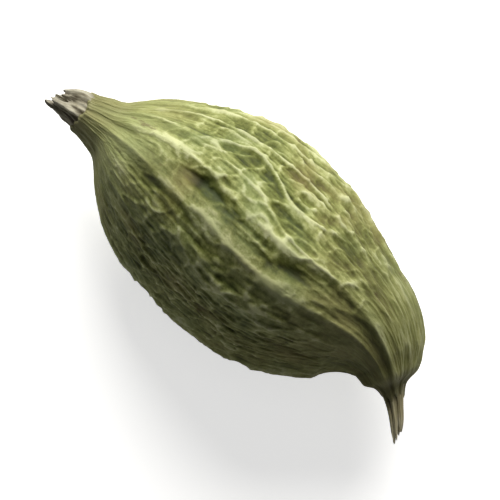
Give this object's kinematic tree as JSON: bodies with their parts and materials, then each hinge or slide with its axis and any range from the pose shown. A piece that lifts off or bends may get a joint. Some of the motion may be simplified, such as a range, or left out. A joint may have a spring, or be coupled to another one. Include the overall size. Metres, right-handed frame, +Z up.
{
  "type": "green cardamom pod",
  "caption": "Dried green cardamom pod lying on one face: three-cornered ribbed and net-wrinkled husk, withered flower remains at one end and a bent torn stalk at the other.",
  "frame": {"origin": "middle of the small flat spot that the pod rests on, under the lower face of the husk", "axes": "+X along the pod from the dried flower to the stalk; +Z up, away from the surface it lies on; +Y to the side that the stalk bends away from"},
  "size_m": [0.0164, 0.0075, 0.0075],
  "materials": {
    "husk": "matte",
    "dried_flower": "matte",
    "stalk": "matte"
  },
  "bodies": {
    "root": {"husk": "husk", "dried_flower": "dried_flower", "stalk": "stalk"}
  },
  "joints": []
}
